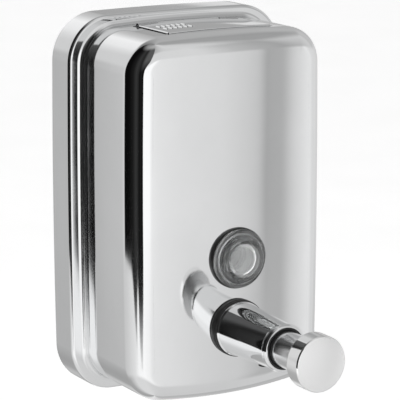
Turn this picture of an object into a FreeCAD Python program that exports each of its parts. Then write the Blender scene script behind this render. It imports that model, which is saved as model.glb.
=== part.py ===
import FreeCAD, Part
import math
import os
from FreeCAD import Vector

# Wall mounted soap dispenser with a push-knob pump, a round window and a hinged refill lid.
# Millimetres.  X to the right, the front faces -Y, the wall is the plane Y = 0, Z is up.
# The origin is the centre of the wall bracket's four screw holes, on the wall plane.

# ---------------------------------------------------------------- driving dimensions
SHEET = 1.0                 # stainless sheet of the shell and the back plate

SKIRT_W, SKIRT_H = 106.0, 165.0     # stepped skirt that meets the wall
SKIRT_DEPTH = 15.5
SKIRT_CORNER = 20.0
SKIRT_CROWN_SIDE, SKIRT_CROWN_END = 0.9, 0.9
SKIRT_EDGE = 1.5            # rounding of the skirt's front edge
STEP_FILLET = 2.4           # hollow rounding where the body rises from the skirt

BODY_W, BODY_H = 93.4, 156.2        # drawn body in front of the skirt
BODY_DEPTH = 65.4           # wall to the middle of the front face
BODY_CORNER = 15.5
BODY_CROWN_SIDE, BODY_CROWN_END = 0.8, 2.0
FRONT_BOW = 6.4             # the front bulges this much between its two sides
FRONT_FILLET = 8.8

BACK_PLATE_Y = -8.0         # front face of the recessed back plate
BACK_RIM_Y = -2.0           # rear end of the back plate's turned rim

BRACKET_W, BRACKET_H, BRACKET_T = 64.0, 116.0, 1.5
SCREW_DX, SCREW_DZ, SCREW_R = 46.0, 100.0, 2.4
TONGUE_X, TONGUE_W, TONGUE_T = 16.0, 14.0, 1.2
TONGUE_TOPS = (44.0, -22.0)
TONGUE_LENGTH = 13.0

LID_X0, LID_X1 = -24.9, 25.2        # the gap at the left edge takes the flat key
LID_Y0 = -51.2
HOLE_X0, HOLE_X1 = -26.2, 25.8
HOLE_Y0, HOLE_Y1 = -51.9, -22.4
LID_RISE = 0.6              # the lid stands this much above the shell
LID_SHEET = 0.8
HINGE_Y = -24.5
HINGE_DROP = 0.6            # hinge line below the top of the body
HINGE_PIN_R, KNUCKLE_R = 0.75, 1.4

LOCK_Y0, LOCK_Y1 = -39.0, -35.0     # sides of the lock bolt's channel
BOLT_DEPTHS = (5.9, 3.8)    # underside and top of the bolt, below the body's top
LOCK_DEPTH = 7.4
RIVET_X, RIVET_YS, RIVET_R = -28.0, (-40.6, -33.4), 0.9

WINDOW_Z = -17.0
WINDOW_R = 12.6             # flange of the clear window
DOME_R = 9.3                # front edge of the window's conical dome
PORT_R = 9.0                # thread radius of the window and pump shanks

PUMP_Z = -47.2
GASKET_R, GASKET_T = 12.3, 2.6
BARREL_R0, BARREL_R1 = 11.3, 9.9    # taper from the base to the lip
BARREL_LENGTH = 35.4
LIP_R = 10.25
BORE_R = 7.85
PLUNGER_R = 7.6
PLUNGER_OUT = 17.6          # plunger seen between the lip and the knob
KNOB_R, KNOB_T, KNOB_DOME = 11.7, 8.0, 1.3
STROKE = 13.0
CHAMBER_R = 6.0
PISTON_INSET, PISTON_L = 3.0, 5.0   # piston head at rest, behind the cylinder's mouth
SPRING_CLOSED = 6.0         # room that the closed return spring needs

# ---------------------------------------------------------------- worked-out places
FRONT_Y = -BODY_DEPTH
BARREL_Y = FRONT_Y - GASKET_T               # base of the barrel
LIP_Y = BARREL_Y - BARREL_LENGTH            # front end of the barrel
KNOB_Y = LIP_Y - PLUNGER_OUT                # back of the knob
BOW_R = ((BODY_W / 2) ** 2 + FRONT_BOW ** 2) / (2 * FRONT_BOW)
BODY_TOP = BODY_H / 2
HINGE_Z = BODY_TOP - HINGE_DROP
LOCK_FLOOR = BODY_TOP - LOCK_DEPTH
BOLT_Z0, BOLT_Z1 = (BODY_TOP - depth for depth in BOLT_DEPTHS)
FAR = 400.0                 # longer than anything here

parts = {}


# ---------------------------------------------------------------- small helpers
def box(x0, x1, y0, y1, z0, z1):
    return Part.makeBox(x1 - x0, y1 - y0, z1 - z0, Vector(x0, y0, z0))


def rounded_box(x0, x1, y0, y1, z0, z1, radius, axis):
    """A box with the four edges along one axis rounded."""
    solid = box(x0, x1, y0, y1, z0, z1)
    edges = [e for e in solid.Edges if abs(abs(e.tangentAt(e.FirstParameter).dot(axis)) - 1) < 1e-6]
    return solid.makeFillet(radius, edges)


def rod(radius, start, end):
    """A round bar between two points."""
    along = Vector(*end) - Vector(*start)
    return Part.makeCylinder(radius, along.Length, Vector(*start), along)


def lathe(profile, z):
    """Turn a closed outline of (y, radius) corners about the Y line at height z."""
    corners = [Vector(r, y, z) for y, r in profile]
    face = Part.Face(Part.makePolygon(corners + corners[:1]))
    return face.revolve(Vector(0, 0, z), Vector(0, 1, 0), 360)


def tube_y(outer, inner, y0, y1, z):
    return lathe([(y0, inner), (y1, inner), (y1, outer), (y0, outer)], z)


def hexagon_y(across_flats, y0, y1, z):
    reach = across_flats / math.sqrt(3)
    corners = [Vector(reach * math.cos(math.radians(a)), y0, z + reach * math.sin(math.radians(a)))
               for a in range(0, 360, 60)]
    return Part.Face(Part.makePolygon(corners + corners[:1])).extrude(Vector(0, y1 - y0, 0))


def coil_y(radius, wire, y0, y1, turns, z):
    """A compression spring along Y between y0 and y1."""
    length = y1 - y0 - wire
    helix = Part.makeLongHelix(length / turns, length, radius)
    helix.rotate(Vector(0, 0, 0), Vector(1, 0, 0), -90)
    helix.translate(Vector(0, y0 + wire / 2, z))
    first = helix.Edges[0]
    ring = Part.Wire(Part.makeCircle(wire / 2, first.valueAt(first.FirstParameter),
                                     first.tangentAt(first.FirstParameter)))
    sweep = Part.BRepOffsetAPI.MakePipeShell(Part.Wire(helix.Edges))
    sweep.setFrenetMode(True)
    sweep.add(ring)
    sweep.build()
    sweep.makeSolid()
    return sweep.shape()


def crowned_block(width, height, corner, side_crown, end_crown, y_front, y_rear):
    """A rounded rectangle with gently curved sides, extruded along Y."""
    x, z = width / 2, height / 2
    cx, cz = x - side_crown, z - end_crown
    top = Part.Arc(Vector(-cx, y_rear, cz), Vector(0, y_rear, z), Vector(cx, y_rear, cz))
    right = Part.Arc(Vector(cx, y_rear, cz), Vector(x, y_rear, 0), Vector(cx, y_rear, -cz))
    bottom = Part.Arc(Vector(cx, y_rear, -cz), Vector(0, y_rear, -z), Vector(-cx, y_rear, -cz))
    left = Part.Arc(Vector(-cx, y_rear, -cz), Vector(-x, y_rear, 0), Vector(-cx, y_rear, cz))
    outline = Part.Wire([arc.toShape() for arc in (top, right, bottom, left)])
    solid = Part.Face(outline).extrude(Vector(0, y_front - y_rear, 0))
    corners = [e for e in solid.Edges if abs(abs(e.tangentAt(e.FirstParameter).y) - 1) < 1e-6]
    return solid.makeFillet(corner, corners)


def skirt_block(inset, y_front, y_rear):
    """The skirt's outline, made smaller all round by inset."""
    return crowned_block(SKIRT_W - 2 * inset, SKIRT_H - 2 * inset, SKIRT_CORNER - inset,
                         SKIRT_CROWN_SIDE, SKIRT_CROWN_END, y_front, y_rear)


def body_block(inset, rounded=False):
    """The body with its bowed front, made smaller all round by inset."""
    block = crowned_block(BODY_W - 2 * inset, BODY_H - 2 * inset, BODY_CORNER - inset,
                          BODY_CROWN_SIDE, BODY_CROWN_END, FRONT_Y - 5, 0)
    bow = Part.makeCylinder(BOW_R - inset, FAR, Vector(0, FRONT_Y + BOW_R, -FAR / 2))
    solid = block.common(bow)
    if not rounded:
        return solid
    front = [f for f in solid.Faces if abs(getattr(f.Surface, "Radius", 0) - (BOW_R - inset)) < 1e-6]
    return solid.makeFillet(FRONT_FILLET - inset, front[0].Edges)


def stepped_block(inset):
    """Skirt and body together, with the rounded edge and the hollow rounding between them."""
    step_y = -(SKIRT_DEPTH - inset)
    skirt = skirt_block(inset, step_y, 0)
    edge = [e for e in skirt.Edges if all(abs(v.Y - step_y) < 1e-6 for v in e.Vertexes)]
    solid = skirt.makeFillet(SKIRT_EDGE - inset, edge).fuse(body_block(inset, rounded=True))
    solid = solid.removeSplitter()
    corner = [e for e in solid.Edges
              if all(abs(v.Y - step_y) < 1e-6
                     and abs(v.X) < BODY_W / 2 - inset + 1e-3
                     and abs(v.Z) < BODY_H / 2 - inset + 1e-3 for v in e.Vertexes)]
    return solid.makeFillet(STEP_FILLET + inset, corner)


# ---------------------------------------------------------------- housing
def front_shell():
    """Deep drawn shell: skirt, body, refill opening and the two round ports."""
    outer = stepped_block(0)
    inner = stepped_block(SHEET)
    opening = rounded_box(HOLE_X0, HOLE_X1, HOLE_Y0, HOLE_Y1, BODY_TOP - 8, BODY_TOP + 5,
                          2.0, Vector(0, 0, 1))
    ports = [rod(PORT_R + 0.15, (0, FRONT_Y - 5, z), (0, FRONT_Y + 12, z)) for z in (WINDOW_Z, PUMP_Z)]
    return outer.cut(inner).cut(opening).cut(ports[0]).cut(ports[1])


def back_plate():
    """Pressed pan that closes the tank and leaves a recess for the wall bracket."""
    pan = skirt_block(SHEET, BACK_PLATE_Y, BACK_RIM_Y)
    hollow = skirt_block(2 * SHEET, BACK_PLATE_Y + SHEET, BACK_RIM_Y + 1)
    return pan.cut(hollow)


def cleat(top_z):
    """Downward hook strip on the back of the back plate, resting on the bracket's tongues."""
    half = 26.0
    seat_y = BACK_PLATE_Y + SHEET
    flange = box(-half, half, seat_y, seat_y + 1, top_z + 1, top_z + 9)
    web = box(-half, half, seat_y, -2.1, top_z, top_z + 1)
    leg = box(-half, half, -3.1, -2.1, top_z - 7, top_z + 1)
    return flange.fuse([web, leg]).removeSplitter()


def wall_bracket():
    """Steel plate with four screw holes and four raised tongues."""
    plate = rounded_box(-BRACKET_W / 2, BRACKET_W / 2, -BRACKET_T, 0, -BRACKET_H / 2, BRACKET_H / 2,
                        6.0, Vector(0, 1, 0))
    for x in (-SCREW_DX / 2, SCREW_DX / 2):
        for z in (-SCREW_DZ / 2, SCREW_DZ / 2):
            plate = plate.cut(rod(SCREW_R, (x, -5, z), (x, 5, z)))
    for top in TONGUE_TOPS:
        for x in (-TONGUE_X, TONGUE_X):
            half = TONGUE_W / 2
            low = top - TONGUE_LENGTH
            plate = plate.cut(box(x - half - 1, x + half + 1, -5, 5, low + 1.2, top + 3))
            upright = rounded_box(x - half, x + half, -4.6, -4.6 + TONGUE_T, low, top,
                                  1.5, Vector(0, 1, 0))
            foot = box(x - half, x + half, -4.6, -0.2, low - 0.6, low + 1.2)
            plate = plate.fuse([upright, foot])
    return plate.removeSplitter()


# ---------------------------------------------------------------- refill lid
def layer(top_inset, bottom_inset, x0, x1, y0, y1, corner):
    """A piece of sheet that follows the crown of the body's top between two depths."""
    window = rounded_box(x0, x1, y0, y1, BODY_TOP - 12, BODY_TOP + 6, corner, Vector(0, 0, 1))
    return body_block(top_inset).cut(body_block(bottom_inset)).common(window)


def filler_frame():
    """Ledge welded under the opening: it carries the lid's seal, the hinge knuckles and the lock."""
    frame = layer(SHEET, SHEET + 1.2, -32, 32, -53.5, -19.5, 4.0)
    frame = frame.cut(rounded_box(-21.5, 21.5, -47.5, -28.0, BODY_TOP - 12, BODY_TOP + 6,
                                  3.0, Vector(0, 0, 1)))
    frame = frame.cut(box(-26.1, -24.9, -38.5, -35.5, BODY_TOP - 12, BODY_TOP + 6))
    for y in RIVET_YS:
        frame = frame.cut(rod(RIVET_R, (RIVET_X, y, BODY_TOP - 12), (RIVET_X, y, BODY_TOP + 6)))
    frame = frame.cut(rod(KNUCKLE_R + 0.35, (-25.4, HINGE_Y, HINGE_Z), (25.4, HINGE_Y, HINGE_Z)))
    for x0, x1 in ((-24.6, -15.4), (15.4, 24.6)):
        knuckle = rod(KNUCKLE_R, (x0, HINGE_Y, HINGE_Z), (x1, HINGE_Y, HINGE_Z))
        stem = box(x0, x1, HINGE_Y - 0.6, HINGE_Y + 0.6, HINGE_Z - 3.2, HINGE_Z)
        frame = frame.fuse([knuckle, stem])
    frame = frame.cut(rod(HINGE_PIN_R, (-30, HINGE_Y, HINGE_Z), (30, HINGE_Y, HINGE_Z)))
    return frame.removeSplitter()


def refill_lid():
    """Crowned lid with a turned-down hem, finger ribs and the middle hinge knuckle."""
    rear = HINGE_Y - 1.0
    plate = layer(-LID_RISE, LID_SHEET - LID_RISE, LID_X0, LID_X1, LID_Y0, rear, 1.8)
    hem = layer(0, LID_SHEET, LID_X0, LID_X1, LID_Y0, rear, 1.8)
    hem = hem.cut(rounded_box(LID_X0 + 0.8, LID_X1 - 0.8, LID_Y0 + 0.8, rear + 5,
                              BODY_TOP - 12, BODY_TOP + 6, 1.0, Vector(0, 0, 1)))
    ribs = []
    for row_y in (-37.5, -43.5):
        for step in range(6):
            x = LID_X0 + 4.0 + step * 2.4
            ribs.append(layer(-LID_RISE - 0.3, 0, x, x + 1.1, row_y, row_y + 4.2, 0.5))
    lid = plate.fuse([hem] + ribs)
    knuckle = rod(KNUCKLE_R, (-15.1, HINGE_Y, HINGE_Z), (15.1, HINGE_Y, HINGE_Z))
    root = layer(-LID_RISE, LID_SHEET - LID_RISE, -15.1, 15.1, rear - 0.5, HINGE_Y, 0.3)
    for x0, x1 in ((-30, -15.1), (15.1, 30)):
        lid = lid.cut(rod(KNUCKLE_R + 0.3, (x0, HINGE_Y, HINGE_Z), (x1, HINGE_Y, HINGE_Z)))
    lid = lid.fuse([knuckle, root])
    lid = lid.cut(rod(HINGE_PIN_R + 0.05, (-30, HINGE_Y, HINGE_Z), (30, HINGE_Y, HINGE_Z)))
    return lid.removeSplitter()


def lid_hinge_pin():
    return rod(HINGE_PIN_R, (-24.6, HINGE_Y, HINGE_Z), (24.6, HINGE_Y, HINGE_Z))


def lid_seal():
    """Flat rubber ring under the lid, just above the ledge."""
    top, bottom = LID_SHEET - LID_RISE, 0.75
    ring = layer(top, bottom, LID_X0 + 1.2, LID_X1 - 1.2, LID_Y0 + 1.2, -26.8, 2.0)
    hole = rounded_box(-21.8, 22.0, -47.8, -28.6, BODY_TOP - 12, BODY_TOP + 6, 2.0, Vector(0, 0, 1))
    return ring.cut(hole)


def lid_striker():
    """Tab under the lid with the window that the lock bolt enters."""
    tab = box(-20.9, -19.9, -40.0, -34.0, BODY_TOP - 7.4, BODY_TOP + 2)
    foot = box(-20.9, -16.5, -40.0, -34.0, BODY_TOP - 3, BODY_TOP + 2)
    below_lid = body_block(LID_SHEET - LID_RISE)
    foot = foot.common(below_lid).cut(body_block(LID_SHEET - LID_RISE + 0.8))
    tab = tab.common(below_lid)
    slot = box(-25, -18, -39.2, -34.8, BODY_TOP - 6.2, BODY_TOP - 3.4)
    return tab.cut(slot).fuse(foot).removeSplitter()


def lock_housing():
    """Guide channel for the lock bolt, riveted under the ledge."""
    block = box(-31.6, -23.2, -42.2, -31.8, LOCK_FLOOR, BODY_TOP).common(body_block(SHEET + 1.2))
    channel = box(-31.0, -20, LOCK_Y0, LOCK_Y1, BOLT_Z0 - 0.1, BOLT_Z1 + 0.1)
    peg_slot = box(-29.3, -24.3, -38.1, -35.9, BODY_TOP - 9, BOLT_Z0)
    key_slot = box(-26.1, -24.9, -38.5, -35.5, BOLT_Z1, BODY_TOP)
    block = block.cut(channel).cut(peg_slot).cut(key_slot)
    for y in RIVET_YS:
        block = block.cut(rod(RIVET_R, (RIVET_X, y, BODY_TOP - 9), (RIVET_X, y, BODY_TOP)))
    return block


def lock_bolt():
    """Sliding bolt; the flat key catches the groove in its top."""
    bolt = box(-30.7, -22.4, LOCK_Y0 + 0.1, LOCK_Y1 - 0.1, BOLT_Z0, BOLT_Z1)
    bolt = bolt.cut(box(-26.2, -24.8, LOCK_Y0, LOCK_Y1, BOLT_Z1 - 0.7, BOLT_Z1 + 1))
    peg = rod(0.8, (-28.3, -37.0, BODY_TOP - 8.0), (-28.3, -37.0, BOLT_Z0 + 0.3))
    return bolt.fuse(peg)


def lock_rivets():
    """Two rivets through the lock housing and the ledge."""
    pieces = []
    for y in RIVET_YS:
        shank = rod(RIVET_R, (RIVET_X, y, LOCK_FLOOR), (RIVET_X, y, BODY_TOP)).common(body_block(SHEET))
        head = Part.makeSphere(1.6, Vector(RIVET_X, y, LOCK_FLOOR + 0.8))
        head = head.common(box(RIVET_X - 2, RIVET_X + 2, y - 2, y + 2, LOCK_FLOOR - 0.9, LOCK_FLOOR))
        pieces.append(shank.fuse(head).removeSplitter())
    return Part.makeCompound(pieces)


# ---------------------------------------------------------------- window
def shell_side(profile, z, inside):
    """A turned ring pressed against the bowed sheet, from inside or from outside."""
    ring = lathe(profile, z)
    return ring.common(body_block(SHEET)) if inside else ring.cut(body_block(0))


def window_gasket():
    profile = [(FRONT_Y + 1, PORT_R + 0.2), (FRONT_Y + 1, WINDOW_R + 0.7), (FRONT_Y - 0.8, WINDOW_R + 0.7),
               (FRONT_Y - 1.3, WINDOW_R + 0.3), (FRONT_Y - 1.3, PORT_R + 0.2)]
    return shell_side(profile, WINDOW_Z, inside=False)


def window_lens():
    """Clear plug: flange, raised conical dome with a dished face, hollow threaded shank."""
    y = FRONT_Y - 1.3
    profile = [(FRONT_Y + 10, PORT_R), (y, PORT_R), (y, WINDOW_R), (y - 1.0, WINDOW_R), (y - 1.5, WINDOW_R - 0.5),
               (y - 1.5, WINDOW_R - 1.2), (y - 4.6, DOME_R), (y - 5.2, DOME_R - 0.6), (y - 5.0, DOME_R - 2.0),
               (y - 4.3, 0), (y - 2.3, 0), (y - 2.8, 5.6), (y - 1.4, 6.9), (FRONT_Y + 10, 6.9)]
    return lathe(profile, WINDOW_Z)


def window_washer():
    profile = [(FRONT_Y, PORT_R + 0.1), (FRONT_Y, WINDOW_R), (FRONT_Y + 2.4, WINDOW_R), (FRONT_Y + 2.4, PORT_R + 0.1)]
    return shell_side(profile, WINDOW_Z, inside=True)


def window_nut():
    y = FRONT_Y + 2.4
    nut = tube_y(12.4, PORT_R, y, y + 5.0, WINDOW_Z)
    for angle in range(0, 360, 60):
        notch = box(-1.2, 1.2, y + 2.5, y + 6, 11.0, 14.0)
        notch.rotate(Vector(0, 0, 0), Vector(0, 1, 0), angle)
        notch.translate(Vector(0, 0, WINDOW_Z))
        nut = nut.cut(notch)
    return nut


# ---------------------------------------------------------------- pump, fixed pieces
SHANK_END = FRONT_Y + 19.2      # inner end of the pump housing's threaded shank
CYL_MOUTH = SHANK_END - 11.0    # mouth of the pump cylinder inside the shank
PISTON_Y0 = CYL_MOUTH + PISTON_INSET    # front face of the piston head
PISTON_Y1 = PISTON_Y0 + PISTON_L
POCKET_Y = PISTON_Y1 + STROKE + SPRING_CLOSED   # floor of the metering chamber
SPOUT_Y = LIP_Y + 16.2          # soap comes out of the barrel's underside here


def pump_gasket():
    profile = [(FRONT_Y + 1, PORT_R + 0.1), (FRONT_Y + 1, GASKET_R), (FRONT_Y - 1.0, GASKET_R),
               (FRONT_Y - 1.2, GASKET_R - 0.4), (FRONT_Y - 1.5, GASKET_R - 0.4), (FRONT_Y - 1.7, GASKET_R - 0.1),
               (FRONT_Y - 2.2, GASKET_R - 0.1), (BARREL_Y, GASKET_R - 0.6), (BARREL_Y, PORT_R + 0.1)]
    return shell_side(profile, PUMP_Z, inside=False)


def pump_housing():
    """Chrome barrel with a rounded lip and, behind it, the threaded shank."""
    profile = [(SHANK_END, BORE_R), (SHANK_END, PORT_R), (BARREL_Y, PORT_R), (BARREL_Y, 11.7),
               (BARREL_Y - 0.9, 11.7), (BARREL_Y - 1.3, BARREL_R0), (LIP_Y + 2.9, BARREL_R1),
               (LIP_Y + 2.4, LIP_R - 0.1), (LIP_Y + 1.8, LIP_R), (LIP_Y + 1.0, LIP_R), (LIP_Y + 0.3, LIP_R - 0.4),
               (LIP_Y, LIP_R - 0.9), (LIP_Y, 9.0), (LIP_Y + 0.3, 8.7), (LIP_Y + 2.0, 8.7), (LIP_Y + 2.0, BORE_R)]
    barrel = lathe(profile, PUMP_Z)
    spout = rod(2.6, (0, SPOUT_Y, PUMP_Z - 15), (0, SPOUT_Y, PUMP_Z - 5))
    return barrel.cut(spout)


def spout_nozzle():
    """Drip-free rubber nozzle set in the underside of the barrel."""
    sleeve = rod(2.6, (0, SPOUT_Y, PUMP_Z - 11.1), (0, SPOUT_Y, PUMP_Z - 5))
    sleeve = sleeve.cut(rod(1.5, (0, SPOUT_Y, PUMP_Z - 15), (0, SPOUT_Y, PUMP_Z - 5)))
    return sleeve.cut(rod(BORE_R + 0.2, (0, SPOUT_Y - 9, PUMP_Z), (0, SPOUT_Y + 9, PUMP_Z)))


def plunger_wiper():
    """Black ring in the mouth of the barrel."""
    profile = [(LIP_Y + 2.0, PLUNGER_R + 0.08), (LIP_Y + 2.0, 8.7), (LIP_Y + 0.4, 8.7), (LIP_Y + 0.4, 8.2),
               (LIP_Y + 0.7, PLUNGER_R + 0.08)]
    return lathe(profile, PUMP_Z)


def pump_washer():
    profile = [(FRONT_Y, PORT_R + 0.1), (FRONT_Y, 12.2), (FRONT_Y + 2.6, 12.2), (FRONT_Y + 2.6, PORT_R + 0.1)]
    return shell_side(profile, PUMP_Z, inside=True)


def pump_nut():
    y = FRONT_Y + 2.6
    nut = hexagon_y(24.0, y, y + 5.5, PUMP_Z)
    nut = nut.common(lathe([(y, 0), (y + 5.5, 0), (y + 5.5, 12.6), (y + 4.5, 13.7), (y, 13.7)], PUMP_Z))
    return nut.cut(rod(PORT_R, (0, y - 1, PUMP_Z), (0, y + 8, PUMP_Z)))


def cylinder_seal():
    return tube_y(8.8, 7.75, SHANK_END, SHANK_END + 1.0, PUMP_Z)


def pump_cylinder():
    """Plastic metering chamber screwed into the shank, with the inlet seat and a socket for the tube."""
    end = POCKET_Y + 10.0
    profile = [(CYL_MOUTH, CHAMBER_R), (CYL_MOUTH, BORE_R - 0.1), (SHANK_END + 1.0, BORE_R - 0.1),
               (SHANK_END + 1.0, 9.2), (SHANK_END + 3.5, 9.2), (SHANK_END + 3.5, 7.9), (POCKET_Y + 4, 7.9),
               (end, 5.0), (end, 2.6), (end - 3.0, 2.6), (end - 3.0, 1.4), (POCKET_Y + 5.6, 1.4),
               (POCKET_Y + 4.2, 2.7), (POCKET_Y, 2.7), (POCKET_Y, CHAMBER_R)]
    return lathe(profile, PUMP_Z)


INLET_BALL_R = 2.2
INLET_BALL_Y = POCKET_Y + 3.8


def inlet_ball():
    return Part.makeSphere(INLET_BALL_R, Vector(0, INLET_BALL_Y, PUMP_Z))


def inlet_cage():
    """Perforated stop that keeps the ball in its pocket."""
    y = POCKET_Y - 0.6
    cage = tube_y(3.0, 1.0, y, POCKET_Y, PUMP_Z).fuse(tube_y(2.7, 2.3, POCKET_Y, POCKET_Y + 1.0, PUMP_Z))
    for angle in range(0, 360, 60):
        hole = rod(0.45, (0, y - 1, 1.75), (0, POCKET_Y + 2, 1.75))
        hole.rotate(Vector(0, 0, 0), Vector(0, 1, 0), angle)
        hole.translate(Vector(0, 0, PUMP_Z))
        cage = cage.cut(hole)
    return cage.removeSplitter()


def pickup_tube():
    """Elbow and straight tube down to the tank floor."""
    start_y = POCKET_Y + 7.0
    corner_y, bend = POCKET_Y + 16.0, 6.0
    drop = BODY_H / 2 - 4.0
    first = Part.LineSegment(Vector(0, start_y, PUMP_Z), Vector(0, corner_y - bend, PUMP_Z))
    mid = bend * (1 - math.sqrt(0.5))
    arc = Part.Arc(Vector(0, corner_y - bend, PUMP_Z), Vector(0, corner_y - mid, PUMP_Z - mid),
                   Vector(0, corner_y, PUMP_Z - bend))
    second = Part.LineSegment(Vector(0, corner_y, PUMP_Z - bend), Vector(0, corner_y, -drop))
    path = Part.Wire([first.toShape(), arc.toShape(), second.toShape()])
    solids = []
    for radius in (2.6, 1.8):
        ring = Part.Wire(Part.makeCircle(radius, Vector(0, start_y, PUMP_Z), Vector(0, 1, 0)))
        solids.append(path.makePipeShell([ring], True, True))
    return solids[0].cut(solids[1])


# ---------------------------------------------------------------- pump, moving pieces
PLUNGER_END = BARREL_Y - 4.2        # inner end of the chrome plunger at rest
SPIGOT_R, SPIGOT_L = 5.0, 5.0


def push_knob():
    """Short chrome knob with rounded edges and a slightly domed face."""
    face = KNOB_Y - KNOB_T
    profile = [(KNOB_Y, SPIGOT_R), (KNOB_Y, KNOB_R - 0.9), (KNOB_Y - 0.3, KNOB_R - 0.3), (KNOB_Y - 0.9, KNOB_R),
               (face + 0.8, KNOB_R), (face + 0.2, KNOB_R - 0.25), (face - 0.2, KNOB_R - 0.9)]
    for share in (0.8, 0.6, 0.4, 0.2, 0.0):
        radius = (KNOB_R - 0.9) * share
        profile.append((face - 0.2 - (KNOB_DOME - 0.2) * (1 - share ** 2), radius))
    profile += [(KNOB_Y - SPIGOT_L, 0), (KNOB_Y - SPIGOT_L, SPIGOT_R)]
    return lathe(profile, PUMP_Z)


def plunger():
    """Chrome plunger, waisted inside the barrel so that soap can pass."""
    waist_y = LIP_Y + 2.7
    profile = [(KNOB_Y - SPIGOT_L, 0), (KNOB_Y - SPIGOT_L, SPIGOT_R), (KNOB_Y, SPIGOT_R), (KNOB_Y, PLUNGER_R),
               (waist_y, PLUNGER_R), (waist_y + 1.0, 6.6), (PLUNGER_END, 6.6), (PLUNGER_END, 4.2),
               (PLUNGER_END - 9.0, 4.2), (PLUNGER_END - 9.0, 0)]
    return lathe(profile, PUMP_Z)


def plunger_guide():
    """Slotted ring that centres the plunger's inner end in the barrel."""
    ring = tube_y(BORE_R - 0.05, 6.6, PLUNGER_END - 5.0, PLUNGER_END - 1.0, PUMP_Z)
    for angle in range(0, 360, 90):
        slot = box(-1.2, 1.2, PLUNGER_END - 6, PLUNGER_END, 7.0, 9.0)
        slot.rotate(Vector(0, 0, 0), Vector(0, 1, 0), angle)
        slot.translate(Vector(0, 0, PUMP_Z))
        ring = ring.cut(slot)
    return ring


BALL_POCKET_Y0, BALL_POCKET_Y1 = PISTON_Y0 - 9.0, PISTON_Y0 - 1.0
OUTLET_BALL_R = 1.6
OUTLET_BALL_Y = BALL_POCKET_Y1 - 1.2


def piston():
    """Piston with its rod: soap passes the outlet ball and leaves by a cross hole."""
    profile = [(PLUNGER_END - 8.0, 0), (PLUNGER_END - 8.0, 4.15), (PISTON_Y0, 4.15), (PISTON_Y0, CHAMBER_R - 0.06),
               (PISTON_Y0 + 1.4, CHAMBER_R - 0.06), (PISTON_Y0 + 1.4, 4.8), (PISTON_Y1 - 1.4, 4.8),
               (PISTON_Y1 - 1.4, CHAMBER_R - 0.06), (PISTON_Y1, CHAMBER_R - 0.06), (PISTON_Y1, 1.2),
               (BALL_POCKET_Y1, 1.2), (BALL_POCKET_Y1 - 1.0, 1.9), (BALL_POCKET_Y0, 1.9), (BALL_POCKET_Y0, 0)]
    body = lathe(profile, PUMP_Z)
    return body.cut(rod(0.9, (-6, BALL_POCKET_Y0 + 1.0, PUMP_Z), (6, BALL_POCKET_Y0 + 1.0, PUMP_Z)))


def piston_seal():
    return tube_y(CHAMBER_R - 0.03, 4.8, PISTON_Y0 + 1.4, PISTON_Y1 - 1.4, PUMP_Z)


def outlet_ball():
    return Part.makeSphere(OUTLET_BALL_R, Vector(0, OUTLET_BALL_Y, PUMP_Z))


def outlet_spring():
    return coil_y(1.3, 0.3, BALL_POCKET_Y0, OUTLET_BALL_Y - 1.35, 4, PUMP_Z)


def return_spring():
    return coil_y(4.6, 0.7, PISTON_Y1, POCKET_Y, 6, PUMP_Z)


parts["front_shell"] = front_shell()
parts["back_plate"] = back_plate()
parts["upper_cleat"] = cleat(TONGUE_TOPS[0])
parts["lower_cleat"] = cleat(TONGUE_TOPS[1])
parts["wall_bracket"] = wall_bracket()
for maker in (filler_frame, refill_lid, lid_hinge_pin, lid_seal, lid_striker, lock_housing, lock_bolt,
              lock_rivets, window_gasket, window_lens, window_washer, window_nut, pump_gasket,
              pump_housing, spout_nozzle, plunger_wiper, pump_washer, pump_nut, cylinder_seal,
              pump_cylinder, inlet_ball, inlet_cage, pickup_tube, push_knob, plunger, plunger_guide,
              piston, piston_seal, outlet_ball, outlet_spring, return_spring):
    parts[maker.__name__] = maker()

os.makedirs("parts", exist_ok=True)
for name, shape in parts.items():
    print(f"{name:16s} {len(shape.Solids)} solid  {shape.Volume:10.2f} mm3  valid {shape.isValid()}")
    shape.exportStep(f"parts/{name}.step")
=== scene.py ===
import math

import bpy
import numpy as np
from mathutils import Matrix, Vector
from mathutils.geometry import delaunay_2d_cdt


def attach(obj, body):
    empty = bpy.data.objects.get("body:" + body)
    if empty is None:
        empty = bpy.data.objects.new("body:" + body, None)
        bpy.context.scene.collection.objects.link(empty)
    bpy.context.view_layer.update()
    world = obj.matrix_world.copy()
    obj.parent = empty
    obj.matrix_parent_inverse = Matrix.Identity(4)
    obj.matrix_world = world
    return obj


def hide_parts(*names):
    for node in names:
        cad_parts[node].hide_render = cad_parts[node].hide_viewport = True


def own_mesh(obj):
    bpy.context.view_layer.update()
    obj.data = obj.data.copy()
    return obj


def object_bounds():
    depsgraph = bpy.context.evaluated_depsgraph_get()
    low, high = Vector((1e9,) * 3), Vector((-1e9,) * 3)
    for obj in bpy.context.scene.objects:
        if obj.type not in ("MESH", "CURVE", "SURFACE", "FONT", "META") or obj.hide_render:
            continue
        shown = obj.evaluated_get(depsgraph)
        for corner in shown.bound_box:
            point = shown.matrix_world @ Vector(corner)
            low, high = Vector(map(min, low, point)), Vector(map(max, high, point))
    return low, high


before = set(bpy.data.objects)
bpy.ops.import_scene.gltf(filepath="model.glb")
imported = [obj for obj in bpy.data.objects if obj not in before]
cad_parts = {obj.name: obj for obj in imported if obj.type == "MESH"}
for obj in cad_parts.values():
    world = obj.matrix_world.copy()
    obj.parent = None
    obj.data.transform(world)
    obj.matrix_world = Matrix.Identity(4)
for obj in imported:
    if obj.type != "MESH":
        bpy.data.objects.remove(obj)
cad_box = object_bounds()

MM = 0.001

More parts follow.
